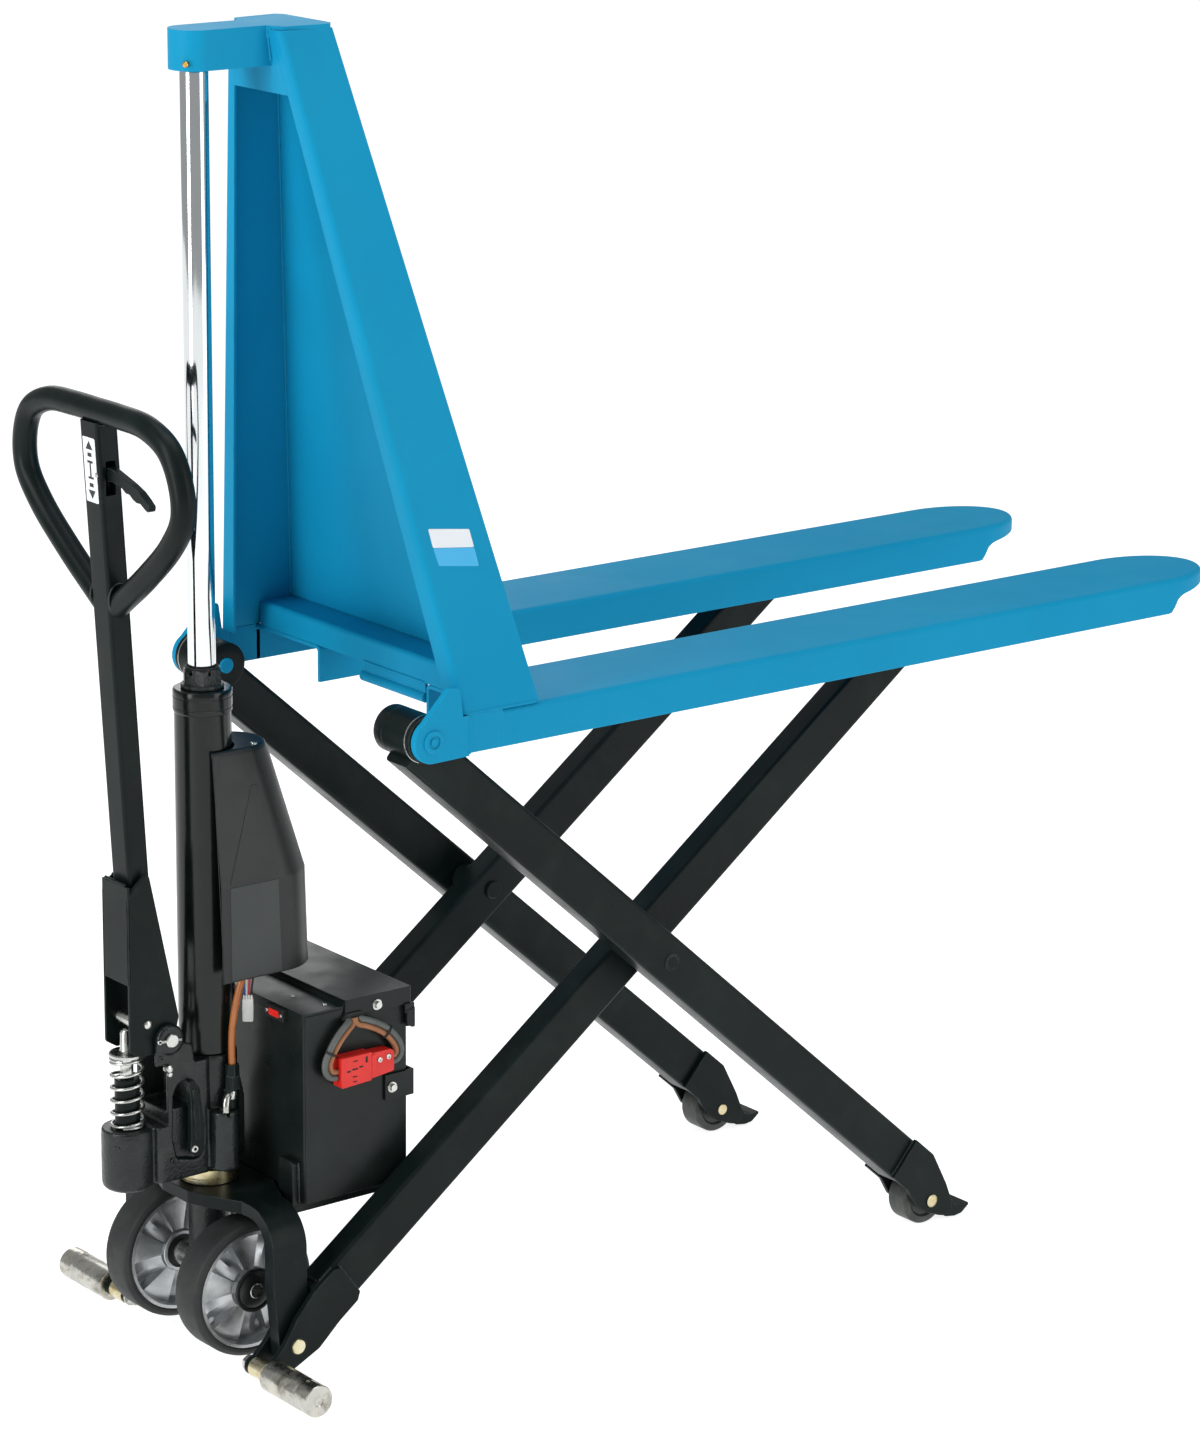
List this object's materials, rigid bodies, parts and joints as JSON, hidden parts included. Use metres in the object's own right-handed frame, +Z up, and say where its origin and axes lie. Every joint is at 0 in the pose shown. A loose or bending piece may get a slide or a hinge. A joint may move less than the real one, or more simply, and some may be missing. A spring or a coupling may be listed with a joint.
{
  "type": "electric scissor pallet truck",
  "caption": "High-lift scissor pallet truck: blue fork frame on black scissor arms, raised by a chrome ram with an electric power pack, pump handle, steer wheels and side feet.",
  "frame": {"origin": "centre of the footprint's bounding box at floor level, forks raised", "axes": "+X towards the fork tips, +Y to the driver's left when facing the forks, +Z up"},
  "size_m": [1.6914, 0.5796, 1.6954],
  "materials": {
    "blue_paint": "satin blue enamel",
    "black_paint": "satin black enamel",
    "cast_iron": "black enamel over rough casting",
    "chrome": "hard chrome, polished",
    "zinc": "yellow passivated zinc",
    "steel": "bright zinc plated, handled",
    "aluminium": "die cast, machined rim",
    "tyre": "solid rubber",
    "cover_plastic": "black thermoformed sheet",
    "red_plastic": "moulded red",
    "hose": "copper brown pressure tube",
    "cable": "grey cable sheath",
    "battery_case": "grey battery case"
  },
  "bodies": {
    "chassis": {"yoke": "black_paint", "thrust_ring": "zinc", "main_pin_left": "zinc", "main_pin_right": "zinc", "battery_tray": "black_paint", "battery_box": "black_paint", "battery_lid": "black_paint", "battery_front": "battery_case", "battery_rear": "battery_case", "box_clamp": "black_paint", "battery_socket": "red_plastic", "battery_plug": "red_plastic", "battery_lead_front": "cable", "battery_lead_rear": "cable"},
    "steer_unit": {"pump_casting": "cast_iron", "cylinder_barrel": "cast_iron", "gland_nut": "cast_iron", "steer_axle": "steel", "power_pack_cover": "cover_plastic", "power_pack": "steel", "pressure_hose": "hose", "hose_fitting": "black_paint", "handle_pin": "steel", "pump_spring": "steel"},
    "steer_wheel_left": {"wheel_rim_left": "aluminium", "wheel_tyre_left": "tyre"},
    "steer_wheel_right": {"wheel_rim_right": "aluminium", "wheel_tyre_right": "tyre"},
    "handle": {"handle": "black_paint"},
    "control_lever": {"control_lever": "black_paint"},
    "plunger": {"pump_plunger": "chrome"},
    "valve_lever": {"lowering_lever": "black_paint"},
    "arms_inner": {"inner_arm_left": "black_paint", "inner_arm_right": "black_paint", "arm_bracket_left": "black_paint", "arm_bracket_right": "black_paint", "foot_left": "steel", "foot_right": "steel"},
    "arms_outer": {"outer_arm_left": "black_paint", "outer_arm_right": "black_paint", "toe_bracket_left": "black_paint", "toe_bracket_right": "black_paint", "roller_axle_left": "zinc", "roller_axle_right": "zinc", "scissor_pin_left": "black_paint", "scissor_pin_right": "black_paint"},
    "fork_roller_left": {"fork_roller_left": "steel"},
    "fork_roller_right": {"fork_roller_right": "steel"},
    "load_roller_left": {"load_roller_left": "tyre"},
    "load_roller_right": {"load_roller_right": "tyre"},
    "forks": {"fork_left": "blue_paint", "fork_right": "blue_paint", "mast_side_left": "blue_paint", "mast_side_right": "blue_paint", "mast_front_panel": "blue_paint", "mast_base_beam": "blue_paint", "mast_head": "blue_paint", "lift_rod": "chrome", "fork_pin_left": "zinc", "fork_pin_right": "zinc"}
  },
  "joints": [
    {"name": "steering", "type": "hinge", "parent": "chassis", "child": "steer_unit", "pos_m": [-0.6851, 0, 0.236], "axis": [0, 0, 1], "range_deg": [-70, 70]},
    {"name": "steer_wheel_left_spin", "type": "hinge", "parent": "steer_unit", "child": "steer_wheel_left", "pos_m": [-0.6889, 0.082, 0.1047], "axis": [0, 1, 0], "continuous": true},
    {"name": "steer_wheel_right_spin", "type": "hinge", "parent": "steer_unit", "child": "steer_wheel_right", "pos_m": [-0.6889, -0.082, 0.1047], "axis": [0, 1, 0], "continuous": true},
    {"name": "handle_tilt", "type": "hinge", "parent": "steer_unit", "child": "handle", "pos_m": [-0.7651, 0, 0.437], "axis": [0, -1, 0], "range_deg": [0, 80], "stiffness_Nm_per_rad": 34, "springref_deg": -14.32},
    {"name": "finger_lever", "type": "hinge", "parent": "handle", "child": "control_lever", "pos_m": [-0.82565, -0.01, 1.167], "axis": [-1, 0, 0], "range_deg": [0, 14], "stiffness_Nm_per_rad": 3, "springref_deg": -5.73},
    {"name": "pump_stroke", "type": "slide", "parent": "steer_unit", "child": "plunger", "axis": [0, 0, -1], "range_m": [0, 0.0562], "deforming": ["pump_spring"]},
    {"name": "lowering_valve", "type": "hinge", "parent": "steer_unit", "child": "valve_lever", "pos_m": [-0.7311, -0.042, 0.288], "axis": [0, 1, 0], "range_deg": [-8, 8], "stiffness_Nm_per_rad": 4},
    {"name": "scissor_lift", "type": "hinge", "parent": "chassis", "child": "arms_inner", "pos_m": [-0.67598, 0, 0.0504], "axis": [0, 1, 0], "range_deg": [0, 36.97]},
    {"name": "scissor_cross", "type": "hinge", "parent": "arms_inner", "child": "arms_outer", "pos_m": [-0.12868, 0, 0.47161], "axis": [0, 1, 0], "range_deg": [-78.5, 0]},
    {"name": "fork_pivot", "type": "hinge", "parent": "arms_outer", "child": "forks", "pos_m": [-0.52665, 0, 0.83863], "axis": [0, 1, 0], "range_deg": [0, 41.5]},
    {"name": "load_roller_left_spin", "type": "hinge", "parent": "arms_outer", "child": "load_roller_left", "pos_m": [0.33182, 0.2275, 0.03694], "axis": [0, 1, 0], "continuous": true},
    {"name": "load_roller_right_spin", "type": "hinge", "parent": "arms_outer", "child": "load_roller_right", "pos_m": [0.33182, -0.2275, 0.03694], "axis": [0, 1, 0], "continuous": true},
    {"name": "fork_roller_left_spin", "type": "hinge", "parent": "arms_inner", "child": "fork_roller_left", "pos_m": [0.34965, 0.186, 0.83798], "axis": [0, 1, 0], "continuous": true},
    {"name": "fork_roller_right_spin", "type": "hinge", "parent": "arms_inner", "child": "fork_roller_right", "pos_m": [0.34965, -0.186, 0.83798], "axis": [0, 1, 0], "continuous": true}
  ],
  "couplings": [
    {"joint": "scissor_cross", "follows": "scissor_lift", "ratio": -2.1217},
    {"joint": "fork_pivot", "follows": "scissor_lift", "ratio": 1.1217},
    {"joint": "pump_stroke", "follows": "handle_tilt", "m_per_rad": 0.0401}
  ]
}
